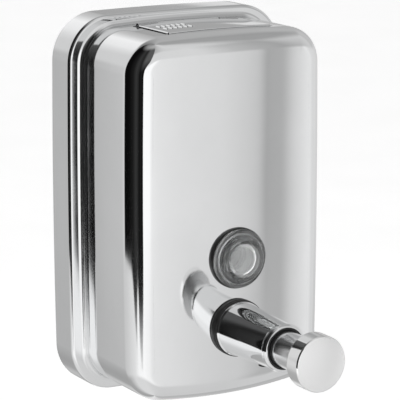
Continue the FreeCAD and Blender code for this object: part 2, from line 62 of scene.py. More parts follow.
# Sizes in millimetres, the same as the CAD part's. X right, front faces -Y, wall at Y = 0, Z up.
SHEET = 1.0
SKIRT = (106.0, 165.0, 20.0, 0.9, 0.9)      # width, height, corner, side crown, end crown
BODY = (93.4, 156.2, 15.5, 0.8, 2.0)
SKIRT_DEPTH, SKIRT_EDGE, STEP_FILLET = 15.5, 1.5, 2.4
FRONT_Y, FRONT_BOW, FRONT_FILLET = -65.4, 6.4, 8.8
BOW_R = ((BODY[0] / 2) ** 2 + FRONT_BOW ** 2) / (2 * FRONT_BOW)
FLANGE_OUT, FLANGE_IN = math.radians(1.0), math.radians(0.2)    # the skirt's front is slightly dished
SOFTENING = 0.25                            # the front rounding starts this much earlier, and gently
SIDE_BULGE = 0.10                           # the drawn walls are very slightly barrelled
HOLE = (-26.2, 25.8, -51.9, -22.4, 1.1)     # x0, x1, y0, y1, corner
LID = (-24.9, 25.2, -51.2, -25.5, 0.8)
LID_RISE, LID_SHEET = 0.6, 0.8
HINGE_Y, HINGE_Z = -24.5, 77.5
PORT_R = 9.15
WINDOW_Z, PUMP_Z = -17.0, -47.2
BARREL_Y = FRONT_Y - 2.6
LIP_Y = BARREL_Y - 35.4
KNOB_Y = LIP_Y - 17.6
WINDOW_R, GASKET_R, KNOB_R = 12.6, 12.3, 11.7


# ---------------------------------------------------------------- mesh building
class Surface:
    """Points with their own exact normals, and the faces between them."""

    def __init__(self):
        self.points, self.normals, self.faces = [], [], []

    def add(self, points, normals):
        first = len(self.points)
        self.points += [tuple(p) for p in points]
        self.normals += [tuple(n) for n in normals]
        return list(range(first, len(self.points)))

    def strip(self, a, b, closed=True):
        """Quads between two rows of points."""
        count = len(a) if closed else len(a) - 1
        for i in range(count):
            j = (i + 1) % len(a)
            self.faces.append((a[i], a[j], b[j], b[i]))

    def fill(self, loops, inner, height, keep):
        """Triangles between loops already made, with extra inner points set on a height function."""
        axes = height.axes
        flat = [Vector((self.points[i][axes[0]], self.points[i][axes[1]])) for loop in loops for i in loop]
        known = [i for loop in loops for i in loop]
        edges, start = [], 0
        for loop in loops:
            n = len(loop)
            edges += [(start + k, start + (k + 1) % n) for k in range(n)]
            start += n
        flat += [Vector(p) for p in inner]
        out, _, tris, origin, _, _ = delaunay_2d_cdt(flat, edges, [], 0, 1e-6)
        ids = []
        for p, source in zip(out, origin):
            if source and source[0] < len(known):
                ids.append(known[source[0]])
            else:
                point, normal = height(p[0], p[1])
                ids += self.add([point], [normal])
        for tri in tris:
            centre = sum((Vector(out[k]) for k in tri), Vector((0, 0))) / 3
            if keep(centre[0], centre[1]):
                self.faces.append(tuple(ids[k] for k in tri))

    def thicken(self, depth, rims):
        """A second skin behind the first, joined along the rims by rounded edges."""
        points, normals = np.array(self.points), np.array(self.normals)
        n = len(points)
        self.points += [tuple(p) for p in points - depth * normals]
        self.normals += [tuple(v) for v in -normals]
        self.faces += [tuple(i + n for i in reversed(f)) for f in self.faces]
        for rim in rims:
            outer = points[rim]
            inner = outer - depth * normals[rim]
            along = np.roll(outer, -1, 0) - np.roll(outer, 1, 0)
            edge = np.cross(along, normals[rim])
            edge /= np.linalg.norm(edge, axis=1)[:, None]
            last = rim
            for share in (0.12, 0.5, 0.88):
                row = self.add(outer * (1 - share) + inner * share, edge)
                self.strip(last, row)
                last = row
            self.strip(last, [i + n for i in rim])

    def mesh(self, name, look):
        """An object with these faces, one material, and the exact normals."""
        data = bpy.data.meshes.new(name)
        points, normals = (np.array(self.points) * MM).tolist(), np.array(self.normals)
        data.from_pydata(points, [], self.faces)
        # every face is turned so that it agrees with the normals of its corners
        wrong = [poly.normal.dot(Vector(normals[list(poly.vertices)].mean(0))) < 0 for poly in data.polygons]
        faces = [tuple(reversed(f)) if flip else f for f, flip in zip(self.faces, wrong)]
        data.clear_geometry()
        data.from_pydata(points, [], faces)
        data.polygons.foreach_set("use_smooth", [True] * len(data.polygons))
        data.normals_split_custom_set_from_vertices(normals.tolist())
        data.materials.append(look)
        data.update()
        thing = bpy.data.objects.new(name, data)
        bpy.context.scene.collection.objects.link(thing)
        return thing


def place(thing, body, slot, *nodes):
    """The piece moves with its body and stands for CAD nodes; slot is not used."""
    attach(thing, body)
    if nodes:
        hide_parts(*nodes)
    return thing


def outline(width, height, corner, side_crown, end_crown, side_steps=36, corner_steps=20):
    """Points and outward normals, in x and z, round a rounded rectangle with crowned sides."""
    x, z = width / 2, height / 2
    cx, cz = x - side_crown, z - end_crown
    top_r = (cx ** 2 + end_crown ** 2) / (2 * end_crown)
    side_r = (cz ** 2 + side_crown ** 2) / (2 * side_crown)
    side_c, top_c = np.array([x - side_r, 0.0]), np.array([0.0, z - top_r])
    # centre of the corner arc, touching both long arcs from inside
    a, b = side_r - corner, top_r - corner
    apart = top_c - side_c
    d = np.linalg.norm(apart)
    along = (a * a - b * b + d * d) / (2 * d)
    up = math.sqrt(a * a - along * along)
    unit = apart / d
    corner_c = max((side_c + unit * along + s * up * np.array([-unit[1], unit[0]]) for s in (1, -1)),
                   key=lambda p: p[0] + p[1])
    a1 = math.atan2(*(corner_c - side_c)[::-1])
    a2 = math.atan2(*(corner_c - top_c)[::-1])
    quarter = [(side_c, side_r, t) for t in np.linspace(0, a1, side_steps + 1)[:-1]]
    quarter += [(corner_c, corner, t) for t in np.linspace(a1, a2, corner_steps + 1)[:-1]]
    quarter += [(top_c, top_r, t) for t in np.linspace(a2, math.pi / 2, side_steps + 1)]
    points = np.array([c + r * np.array([math.cos(t), math.sin(t)]) for c, r, t in quarter])
    normals = np.array([[math.cos(t), math.sin(t)] for _, _, t in quarter])
    right = np.vstack([points, points[-2::-1] * [-1, 1]])
    right_n = np.vstack([normals, normals[-2::-1] * [-1, 1]])
    whole = np.vstack([right, right[-2:0:-1] * [1, -1]])
    whole_n = np.vstack([right_n, right_n[-2:0:-1] * [1, -1]])
    return whole, whole_n


def in_3d(flat, y):
    """Points given in x and z, set at depth y."""
    return np.column_stack([flat[:, 0], np.broadcast_to(y, len(flat)), flat[:, 1]])


def rounded_rectangle(x0, x1, y0, y1, radius, steps=8):
    """Points and outward normals, in x and y, round a rounded rectangle."""
    points, normals = [], []
    for cx, cy, start in ((x1 - radius, y1 - radius, 0), (x0 + radius, y1 - radius, 90),
                          (x0 + radius, y0 + radius, 180), (x1 - radius, y0 + radius, 270)):
        for k in range(steps + 1):
            t = math.radians(start + 90 * k / steps)
            points.append((cx + radius * math.cos(t), cy + radius * math.sin(t)))
            normals.append((math.cos(t), math.sin(t)))
    # long straight runs get points of their own
    out_p, out_n = [], []
    for i, p in enumerate(points):
        q = points[(i + 1) % len(points)]
        out_p.append(p)
        out_n.append(normals[i])
        length = math.dist(p, q)
        extra = int(length / 1.2)
        if length > 2 * radius * math.sin(math.pi / 4 / steps) + 0.3:
            for k in range(1, extra):
                s = k / extra
                out_p.append((p[0] + (q[0] - p[0]) * s, p[1] + (q[1] - p[1]) * s))
                out_n.append(normals[i])
    return np.array(out_p), np.array(out_n)


def bulge(y):
    """How far the body's wall stands out at this depth, and its slope."""
    rear, front = -SKIRT_DEPTH - STEP_FILLET, FRONT_Y + FRONT_FILLET
    t = np.clip((y - rear) / (front - rear), 0, 1)
    return 4 * SIDE_BULGE * t * (1 - t), 4 * SIDE_BULGE * (1 - 2 * t) / (front - rear)


TOP_R = ((BODY[0] / 2 - BODY[3]) ** 2 + BODY[4] ** 2) / (2 * BODY[4])


def top_skin(rise):
    """Height function of the body's crowned top, raised by rise."""
    def height(x, y):
        out, slope = bulge(y)
        z = BODY[1] / 2 - TOP_R + math.sqrt((TOP_R + rise) ** 2 - x * x) + out
        normal = Vector((x / (TOP_R + rise), -slope, 1)).normalized()
        return (x, y, z), normal
    height.axes = (0, 1)
    return height


def front_skin(x, z):
    """Height function of the bowed front."""
    depth = math.sqrt(BOW_R ** 2 - x * x)
    return (x, FRONT_Y + BOW_R - depth, z), (x / BOW_R, -depth / BOW_R, 0.0)


front_skin.axes = (0, 2)


def spread(x0, x1, y0, y1, pitch):
    """Staggered points over a rectangle."""
    out = []
    for j, y in enumerate(np.arange(y0, y1, pitch * 0.866)):
        for x in np.arange(x0 + (pitch / 2 if j % 2 else 0), x1, pitch):
            out.append((x, y))
    return out


def in_opening(x, y):
    """Whether a point of the top lies inside the refill opening and its rounded corners."""
    x0, x1, y0, y1, r = HOLE
    dx = max(x0 + r - x, x - (x1 - r), 0)
    dy = max(y0 + r - y, y - (y1 - r), 0)
    return x0 < x < x1 and y0 < y < y1 and math.hypot(dx, dy) <= r


def from_ports(x, z):
    """Distance to the middle of the nearer port in the front."""
    return min(math.hypot(x, z - port_z) for port_z in (WINDOW_Z, PUMP_Z))


# ---------------------------------------------------------------- drawn shell
PANEL_X = 30.4                              # half width of the top panel that holds the refill opening


def front_shell():
    """The drawn shell: skirt, step, body wall, top panel with its opening, and front with two ports."""
    s = Surface()
    skirt, skirt_n = outline(*SKIRT)
    body, body_n = outline(*BODY)
    last = None

    def row(points, normals):
        nonlocal last
        ids = s.add(points, normals)
        if last is not None:
            s.strip(last, ids)
        last = ids
        return ids

    n3, b3 = in_3d(skirt_n, 0.0), in_3d(body_n, 0.0)
    # the skirt's front slopes back a little from the hollow rounding to its own rounded edge
    gap = np.linalg.norm(skirt - skirt_n * SKIRT_EDGE - body - body_n * STEP_FILLET, axis=1)
    edge_y = -SKIRT_DEPTH + gap * math.tan((FLANGE_OUT + FLANGE_IN) / 2) + SKIRT_EDGE
    rear = row(in_3d(skirt, 0.0), n3)
    for share in np.linspace(0, 1, 6)[1:]:
        row(in_3d(skirt, edge_y * share), n3)
    for t in np.linspace(0, math.pi / 2 - FLANGE_OUT, 11)[1:]:
        side, ahead = math.cos(t), math.sin(t)
        row(in_3d(skirt - skirt_n * SKIRT_EDGE * (1 - side), edge_y - SKIRT_EDGE * ahead),
            n3 * side + np.array([0, -ahead, 0]))
    for t in np.linspace(FLANGE_IN, math.pi / 2, 17):
        side, ahead = math.sin(t), math.cos(t)
        row(in_3d(body + body_n * STEP_FILLET * (1 - side), -SKIRT_DEPTH - STEP_FILLET * (1 - ahead)),
            b3 * side + np.array([0, -ahead, 0]))
    # centres of the rolling ball of the front rounding
    centre = body - body_n * FRONT_FILLET
    reach = np.sqrt((BOW_R - FRONT_FILLET) ** 2 - centre[:, 0] ** 2)
    centre_y = FRONT_Y + BOW_R - reach
    ahead = np.column_stack([centre[:, 0], -reach, np.zeros(len(centre))]) / (BOW_R - FRONT_FILLET)
    half = np.arccos(np.clip((b3 * ahead).sum(1), -1, 1)) / 2
    at_corner = np.abs(2 * body_n[:, 0] * body_n[:, 1])
    extra = SOFTENING * FRONT_FILLET * np.tan(half) * (1 - 0.7 * at_corner)
    touch = in_3d(centre, centre_y) + FRONT_FILLET * ahead
    wall_end = centre_y + extra
    # body wall; the panel around the refill opening is filled separately
    rear_y = -SKIRT_DEPTH - STEP_FILLET
    columns = np.where((np.abs(body[:, 0]) <= PANEL_X) & (body[:, 1] > 0))[0]
    first, final = columns.min(), columns.max()
    rows = [last]
    for share in np.linspace(0, 1, 13)[1:]:
        y = rear_y + (wall_end - rear_y) * share
        out, slope = bulge(y)
        normals = b3 - np.column_stack([np.zeros(len(y)), slope, np.zeros(len(y))])
        normals /= np.linalg.norm(normals, axis=1)[:, None]
        rows.append(s.add(in_3d(body, y) + b3 * out[:, None], normals))
    size = len(body)
    for a, b in zip(rows, rows[1:]):
        for i in range(size):
            if first <= i < final:
                continue
            j = (i + 1) % size
            s.faces.append((a[i], a[j], b[j], b[i]))
    panel = [rows[0][i] for i in range(first, final + 1)]
    panel += [r[final] for r in rows[1:-1]]
    panel += [rows[-1][i] for i in range(final, first - 1, -1)]
    panel += [r[first] for r in reversed(rows[1:-1])]
    top = top_skin(0.0)
    hole_p, _ = rounded_rectangle(*HOLE)
    hole = []
    for x, y in hole_p:
        point, normal = top(x, y)
        hole += s.add([point], [normal])
    clear = 0.8
    inner = [(x, y) for x, y in spread(1.2 - PANEL_X, PANEL_X - 1.2, -54.5, -19.5, 1.9)
             if y > FRONT_Y + FRONT_FILLET * (1 + SOFTENING) + x * x / (2 * BOW_R) + clear
             and not (HOLE[0] - clear < x < HOLE[1] + clear and HOLE[2] - clear < y < HOLE[3] + clear)]
    s.fill([panel, hole], inner, top, lambda x, y: not in_opening(x, y))
    last = rows[-1]
    # front rounding: a curve with no jump in curvature where it leaves the wall and meets the front
    start = np.array([s.points[i] for i in last])
    start_n = np.array([s.normals[i] for i in last])
    _, slope = bulge(wall_end)
    leave = -np.array([0.0, 1.0, 0.0]) - b3 * slope[:, None]
    leave /= np.linalg.norm(leave, axis=1)[:, None]
    end, end_n = (np.array(v) for v in zip(*[front_skin(p[0] - n[0] * e, p[2] - n[2] * e)
                                             for p, n, e in zip(touch, b3, extra)]))
    arrive = -b3 + (b3 * end_n).sum(1)[:, None] * end_n
    arrive /= np.linalg.norm(arrive, axis=1)[:, None]
    reach_k = FRONT_FILLET * np.tan(half) + extra
    pull = (16 * reach_k - 16 * FRONT_FILLET * (1 / np.cos(half) - 1) / np.sin(half)) / 25
    pull = pull[:, None]
    control = [start, start + pull * leave, start + 2 * pull * leave, end - 2 * pull * arrive,
               end - pull * arrive, end]
    for t in np.linspace(0, 1, 27)[1:]:
        at = sum(math.comb(5, k) * (1 - t) ** (5 - k) * t ** k * c for k, c in enumerate(control))
        speed = sum(5 * math.comb(4, k) * (1 - t) ** (4 - k) * t ** k * (control[k + 1] - control[k])
                    for k in range(5))
        normal = np.cross(np.roll(at, -1, 0) - np.roll(at, 1, 0), speed)
        normal /= np.linalg.norm(normal, axis=1)[:, None]
        normal *= np.sign((normal * (start_n + end_n)).sum(1))[:, None]
        row(at, normal if t < 1 else end_n)
    rim = last
    ports = []
    for z in (WINDOW_Z, PUMP_Z):
        loop = []
        for k in range(72):
            t = 2 * math.pi * k / 72
            point, normal = front_skin(PORT_R * math.cos(t), z + PORT_R * math.sin(t))
            loop += s.add([point], [normal])
        ports.append(loop)
    edge = [Vector((s.points[i][0], s.points[i][2])) for i in rim]
    reach_x, reach_z = max(p[0] for p in edge), max(p[1] for p in edge)

    def inside(x, z):
        in_corner = abs(x) > reach_x - 6 and abs(z) > reach_z - 6
        return (from_ports(x, z) > PORT_R + 1.0 and abs(x) < reach_x - 1.5 and abs(z) < reach_z - 1.5
                and not in_corner)
    inner = [(x, z) for x, z in spread(-reach_x, reach_x, -reach_z, reach_z, 2.4) if inside(x, z)]
    s.fill([rim] + ports, inner, front_skin, lambda x, z: from_ports(x, z) > PORT_R * 0.999)
    s.thicken(SHEET, [rear, hole] + ports)
    return s


# ---------------------------------------------------------------- turned pieces
def soften(profile, steps=7):
    """Round the corners of an outline of (y, r, radius): points and normals with no sharp corner."""
    corners = [np.array(c[:2], float) for c in profile]
    radii = [c[2] for c in profile]
    n = len(corners)
    points, normals = [], []
    area = sum(corners[i][0] * corners[(i + 1) % n][1] - corners[(i + 1) % n][0] * corners[i][1]
               for i in range(n))
    sign = 1 if area > 0 else -1
    for i in range(n):
        p, a, b = corners[i], corners[i - 1], corners[(i + 1) % n]
        u, v = (p - a) / np.linalg.norm(p - a), (b - p) / np.linalg.norm(b - p)
        turn = math.acos(np.clip(u @ v, -1, 1))
        nu, nv = sign * np.array([u[1], -u[0]]), sign * np.array([v[1], -v[0]])
        if p[1] < 1e-6 or radii[i] == 0:
            points.append(p)
            normals.append((nu + nv) / np.linalg.norm(nu + nv) if p[1] > 1e-6 else
                           nu if a[1] > 1e-6 else nv)
            continue
        cut = radii[i] * math.tan(turn / 2)
        limit = 0.48 * min(np.linalg.norm(p - a), np.linalg.norm(b - p))
        cut = min(cut, limit)
        radius = cut / math.tan(turn / 2)
        for k in range(steps + 1):
            t = k / steps
            normal = (math.sin((1 - t) * turn) * nu + math.sin(t * turn) * nv) / math.sin(turn)
            outward = sign * (u[0] * v[1] - u[1] * v[0]) > 0
            centre = p - u * cut - (nu if outward else -nu) * radius
            points.append(centre + (normal if outward else -normal) * radius)
            normals.append(normal)
    return points, normals


def turned(profile, z, segments=144):
    """A turned piece about the Y line at height z."""
    s = Surface()
    angles = [2 * math.pi * k / segments for k in range(segments)]
    rows = []
    for (y, r), (ny, nr) in zip(*soften(profile)):
        if r < 1e-6:
            rows.append(s.add([(0, y, z)], [(0, math.copysign(1, ny), 0)]) * segments)
        else:
            rows.append(s.add([(r * math.cos(a), y, z + r * math.sin(a)) for a in angles],
                              [(nr * math.cos(a), ny, nr * math.sin(a)) for a in angles]))
    for i, a in enumerate(rows):
        b = rows[(i + 1) % len(rows)]
        for k in range(segments):
            j = (k + 1) % segments
            face = [a[k], a[j], b[j], b[k]]
            face = [v for m, v in enumerate(face) if v != face[m - 1]]
            if len(face) > 2:
                s.faces.append(tuple(face))
    return s


def coil(radius, wire, y0, y1, turns, z):
    """A compression spring wound along Y, with one closed coil at each end."""
    s = Surface()
    last = None
    half, around = turns / 2, 16
    pitch = ((y1 - y0 - wire) / 2 - wire) / (half - 1)
    for t in np.linspace(-half, half, int(turns * 36) + 1):
        # in the end coils the wire touches the next turn
        beyond = max(0.0, abs(t) - (half - 1))
        along = math.copysign(min(abs(t), half - 1) * pitch + beyond * wire, t)
        rise = wire if beyond > 0 else pitch
        turn = 2 * math.pi * t
        radial = np.array([math.cos(turn), 0.0, math.sin(turn)])
        tangent = np.array([-math.sin(turn) * radius, rise / (2 * math.pi), math.cos(turn) * radius])
        tangent /= np.linalg.norm(tangent)
        across = np.cross(tangent, radial)
        centre = np.array([0.0, (y0 + y1) / 2 + along, z]) + radius * radial
        section = [math.cos(a) * radial + math.sin(a) * across
                   for a in np.linspace(0, 2 * math.pi, around + 1)[:-1]]
        ids = s.add([centre + wire / 2 * v for v in section], section)
        if last is not None:
            s.strip(last, ids)
        if abs(t) == half:
            end = tangent * math.copysign(1, t)
            middle = s.add([centre], [end])[0]
            rim = s.add([centre + wire / 2 * v for v in section], [end] * around)
            s.faces += [(rim[k], rim[(k + 1) % around], middle) for k in range(around)]
        last = ids
    return s


# ---------------------------------------------------------------- refill lid
RIB_ROWS, RIB_X0, RIB_STEP, RIBS = (-37.5, -43.5), LID[0] + 4.0, 2.4, 6
RIB_W, RIB_L, RIB_H, RIB_SLOPE = 1.1, 4.2, 0.3, 0.28
LID_ROLL, LID_HEM, KNUCKLE_X = 0.55, 1.35, 15.1


def rib_height(x, y):
    """Finger ribs pressed up from the lid."""
    best = 0.0
    for row in RIB_ROWS:
        for k in range(RIBS):
            cx, cy = RIB_X0 + k * RIB_STEP + RIB_W / 2, row + RIB_L / 2
            half = RIB_W / 2
            d = math.hypot(x - cx, max(abs(y - cy) - (RIB_L / 2 - half), 0.0)) - half
            t = min(max(0.5 - d / RIB_SLOPE, 0.0), 1.0)
            best = max(best, RIB_H * t * t * (3 - 2 * t))
    return best


def lid_shell():
    """Lid sheet: pressed top with ribs, rolled edge and hem."""
    s = Surface()
    crown = top_skin(LID_RISE)

    def pressed(x, y):
        (px, py, pz), normal = crown(x, y)
        e = 0.05
        gx = (rib_height(x + e, y) - rib_height(x - e, y)) / (2 * e)
        gy = (rib_height(x, y + e) - rib_height(x, y - e)) / (2 * e)
        tilt = Vector((normal[0] - gx, normal[1] - gy, 1)).normalized()
        return (px, py, pz + rib_height(x, y)), tilt
    pressed.axes = (0, 1)
    edge, edge_n = rounded_rectangle(*LID, steps=10)
    rows = []
    for t in np.linspace(0, math.pi / 2, 8):
        inset, drop = LID_ROLL * (1 - math.sin(t)), LID_ROLL * (1 - math.cos(t))
        ids = []
        for (x, y), (nx, ny) in zip(edge, edge_n):
            point, normal = crown(x - nx * inset, y - ny * inset)
            lean = Vector((nx * math.sin(t), ny * math.sin(t), 0)) + Vector(normal) * math.cos(t)
            ids += s.add([(point[0], point[1], point[2] - drop)], [lean.normalized()])
        rows.append(ids)
    ids = []
    for (x, y), (nx, ny) in zip(edge, edge_n):
        point, _ = crown(x, y)
        ids += s.add([(point[0], point[1], point[2] - LID_HEM)], [(nx, ny, 0)])
    rows.append(ids)
    for a, b in zip(rows, rows[1:]):
        s.strip(a, b)
    x0, x1 = RIB_X0 - 0.6, RIB_X0 + (RIBS - 1) * RIB_STEP + RIB_W + 0.6
    y0, y1 = min(RIB_ROWS) - 0.6, max(RIB_ROWS) + RIB_L + 0.6
    inner = [(x, y) for x, y in spread(LID[0] + 1.2, LID[1] - 1.2, LID[2] + 1.2, LID[3] - 1.2, 1.3)
             if not (x0 - 0.4 < x < x1 + 0.4 and y0 - 0.4 < y < y1 + 0.4)]
    inner += spread(x0, x1, y0, y1, 0.14)
    s.fill([rows[0]], inner, pressed, lambda x, y: True)
    s.thicken(LID_SHEET, [rows[-1]])
    return s


def hinge_leaf():
    """Strip that joins the lid to its middle knuckle."""
    s = Surface()
    crown = top_skin(LID_RISE)
    start_y, leaf_sheet = LID[3] - 0.5, 0.7
    rows = []
    for share in np.linspace(0, 1, 7):
        ids = []
        for x in np.linspace(-KNUCKLE_X, KNUCKLE_X, 31):
            (_, _, z), normal = crown(x, start_y)
            y = start_y + (HINGE_Y - start_y) * share
            ids += s.add([(x, y, z - 0.02 + (HINGE_Z + 1.38 - z) * share ** 2)], [normal])
        rows.append(ids)
    for a, b in zip(rows, rows[1:]):
        s.strip(a, b, closed=False)
    ring = rows[0] + [r[-1] for r in rows[1:-1]] + rows[-1][::-1] + [r[0] for r in rows[-2:0:-1]]
    s.thicken(leaf_sheet, [ring])
    return s


def knuckle(radius, bore, soft=0.15, steps=40):
    """The lid's short tube on the hinge line, with rounded ends."""
    s = Surface()
    profile = [(-KNUCKLE_X, bore, soft), (-KNUCKLE_X, radius, soft), (KNUCKLE_X, radius, soft),
               (KNUCKLE_X, bore, soft)]
    angles = [2 * math.pi * k / steps for k in range(steps)]
    rows = [s.add([(x, HINGE_Y + r * math.cos(a), HINGE_Z + r * math.sin(a)) for a in angles],
                  [(nx, nr * math.cos(a), nr * math.sin(a)) for a in angles])
            for (x, r), (nx, nr) in zip(*soften(profile, 4))]
    for i, a in enumerate(rows):
        s.strip(a, rows[(i + 1) % len(rows)])
    return s


# ---------------------------------------------------------------- node materials
def lin(level):
    """Display level 0-255 to linear light."""
    c = level / 255
    return c / 12.92 if c <= 0.04045 else ((c + 0.055) / 1.055) ** 2.4


class Tree:
    """Short way to write a node tree."""

    def __init__(self, tree):
        self.tree = tree
        self.nodes, self.links = tree.nodes, tree.links

    def __call__(self, kind, inputs=None, **settings):
        made = self.nodes.new(kind)
        for key, value in settings.items():
            setattr(made, key, value)
        for key, value in (inputs or {}).items():
            socket = made.inputs[key]
            if isinstance(value, bpy.types.NodeSocket):
                self.links.new(value, socket)
            else:
                socket.default_value = value
        return made

    def math(self, operation, a, b=0.0):
        return self("ShaderNodeMath", {0: a, 1: b}, operation=operation).outputs[0]

    def ramp(self, fac, stops):
        made = self("ShaderNodeValToRGB", {"Fac": fac})
        elements = made.color_ramp.elements
        while len(elements) < len(stops):
            elements.new(1.0)
        for element, (position, value) in zip(elements, stops):
            element.position = position
            element.color = (value, value, value, 1) if isinstance(value, float) else (*value, 1)
        return made.outputs["Color"]

    def noise(self, vector, scale, detail=2.0, rough=0.5):
        return self("ShaderNodeTexNoise", {"Vector": vector, "Scale": scale, "Detail": detail,
                                           "Roughness": rough}).outputs[0]

    def scaled(self, vector, scale):
        return self("ShaderNodeMapping", {"Vector": vector, "Scale": scale}).outputs[0]

    def span(self, value, a, b, c, d):
        return self("ShaderNodeMapRange", {"Value": value, "From Min": a, "From Max": b,
                                           "To Min": c, "To Max": d}).outputs[0]

    def bump(self, height, strength, distance, under=None):
        """A bump's normal, laid over another bump if there is one."""
        inputs = {"Strength": strength, "Distance": distance, "Height": height}
        if under is not None:
            inputs["Normal"] = under
        return self("ShaderNodeBump", inputs).outputs[0]

    def radius(self, where, height):
        """Distance from the line along Y at that height, in metres."""
        x, _, z = self("ShaderNodeSeparateXYZ", {0: where}).outputs
        z = self.math("SUBTRACT", z, height * MM)
        return self.math("SQRT", self.math("ADD", self.math("MULTIPLY", x, x), self.math("MULTIPLY", z, z)))


def material(name, shader_inputs):
    """A new material, its node tree, its shader and the object coordinates."""
    made = bpy.data.materials.new(name)
    made.use_nodes = True
    t = Tree(made.node_tree)
    shader = t.nodes["Principled BSDF"]
    for key, value in shader_inputs.items():
        shader.inputs[key].default_value = value
    where = t("ShaderNodeTexCoord").outputs["Object"]
    return made, t, shader, where


def feed(t, shader, **sources):
    """Link outputs to the shader's sockets, such as base_color to Base Color."""
    for key, source in sources.items():
        t.links.new(source, shader.inputs[key.replace("_", " ").title()])


def metal(name, colour, rough, rough_spread, scratch=0.12, wave=0.0, grain=None, step=False):
    """Bare or plated metal: fine scratches both ways, smears and a slight waviness of the sheet."""
    made, t, shader, where = material(name, {"Metallic": 1.0})
    smear = t.noise(where, 38.0, 5.0, 0.6)
    fine = t.noise(where, 900.0, 2.0, 0.6)
    roughness = t.span(smear, 0.3, 0.7, rough, rough + rough_spread)
    tint = t.ramp(smear, [(0.35, colour), (0.75, tuple(c * 0.965 for c in colour))])
    lines_a = t.noise(t.scaled(where, (40.0, 40.0, 2600.0)), 1.0, 2.0, 0.7)
    lines_b = t.noise(t.scaled(where, (2300.0, 300.0, 60.0)), 1.0, 2.0, 0.7)
    lines = t.math("ADD", t.math("MULTIPLY", lines_a, 0.5), t.math("MULTIPLY", lines_b, 0.5))
    normal = t.bump(t.math("ADD", lines, t.math("MULTIPLY", fine, 0.3)), scratch, 0.00002)
    if wave:
        slow = t.noise(t.scaled(where, (26.0, 26.0, 15.0)), 1.0, 1.0, 0.4)
        normal = t.bump(slow, 1.0, wave, normal)
    if grain:
        normal = t.bump(t.noise(t.scaled(where, grain), 1.0, 3.0, 0.7), 0.5, 0.00003, normal)
    if step:
        # the hollow of the drawn step is hard to reach with the buff, so it is less bright
        depth = t("ShaderNodeSeparateXYZ", {0: where}).outputs[1]
        hollow = t.math("MULTIPLY", t.span(depth, -0.0186, -0.0177, 0.0, 1.0),
                        t.span(depth, -0.0155, -0.0158, 0.0, 1.0))
        dull = t.math("MULTIPLY", hollow, t.span(smear, 0.3, 0.7, 0.02, 0.07))
        roughness = t.math("ADD", roughness, dull)
    feed(t, shader, roughness=roughness, base_color=tint, normal=normal)
    return made


def rubber(name, level=0.012, rough=0.42):
    """Black rubber with a mottled, finely porous skin."""
    made, t, shader, where = material(name, {"Specular IOR Level": 0.45})
    mottle = t.noise(where, 240.0, 4.0, 0.6)
    feed(t, shader,
         base_color=t.ramp(mottle, [(0.3, (level, level, level)), (0.75, (level * 1.9,) * 3)]),
         roughness=t.span(mottle, 0.3, 0.7, rough - 0.07, rough + 0.1),
         normal=t.bump(t.noise(where, 2600.0, 2.0, 0.6), 0.35, 0.00004))
    return made


def clear_plastic(name):
    """Clear moulded plastic, lightly frosted by wear on the dished face of the window."""
    made, t, shader, where = material(name, {"IOR": 1.49})
    haze = t.noise(where, 120.0, 3.0, 0.5)
    # 0 on the dished face and 1 outside it; its edge is 7.0 to 7.4 mm from the middle
    outside = t.ramp(t.math("MULTIPLY", t.radius(where, WINDOW_Z), 100.0), [(0.70, 0.0), (0.74, 1.0)])
    frosted = t.math("MULTIPLY", t.span(haze, 0.3, 0.7, 0.74, 0.84), t.math("SUBTRACT", 1.0, outside))
    clear = t.math("MULTIPLY", outside, t.span(haze, 0.3, 0.7, 0.94, 0.99))
    marks = t.noise(t.scaled(where, (700.0, 80.0, 1400.0)), 1.0, 2.0, 0.6)
    feed(t, shader,
         transmission_weight=t.math("ADD", frosted, clear),
         base_color=t.ramp(haze, [(0.3, (0.90, 0.915, 0.92)), (0.7, (0.96, 0.97, 0.97))]),
         roughness=t.span(haze, 0.3, 0.7, 0.015, 0.05),
         normal=t.bump(marks, 0.35, 0.00005))
    return made


def moulded(name, colour, rough=0.36):
    """Opaque moulded plastic with flow marks."""
    made, t, shader, where = material(name, {})
    flow = t.noise(where, 90.0, 4.0, 0.55)
    feed(t, shader,
         base_color=t.ramp(flow, [(0.3, colour), (0.75, tuple(c * 0.93 for c in colour))]),
         roughness=t.span(flow, 0.3, 0.7, rough - 0.06, rough + 0.08),
         normal=t.bump(t.noise(where, 1500.0, 3.0, 0.6), 0.2, 0.00004))
    return made


def knob_metal(name):
    """Chrome with a satin, faintly turned face and a duller back."""
    made, t, shader, where = material(name, {"Base Color": (0.93, 0.93, 0.93, 1)})
    facing = t("ShaderNodeSeparateXYZ", {0: t("ShaderNodeTexCoord").outputs["Normal"]}).outputs[1]
    satin = t.span(facing, -0.93, -0.99, 0.0, 1.0)
    back = t.span(facing, 0.9, 0.98, 0.0, 1.0)
    smear = t.noise(where, 60.0, 4.0, 0.6)
    rough = t.math("ADD", t.math("MULTIPLY", satin, 0.26), t.span(smear, 0.3, 0.7, 0.03, 0.07))
    rings = t.noise(t("ShaderNodeCombineXYZ", {0: t.radius(where, PUMP_Z)}).outputs[0], 9000.0, 2.0, 0.7)
    feed(t, shader,
         metallic=t.span(satin, 0.0, 1.0, 1.0, 0.8),
         roughness=t.math("ADD", rough, t.math("MULTIPLY", back, 0.3)),
         normal=t.bump(t.math("MULTIPLY", rings, satin), 0.12, 0.00003))
    return made


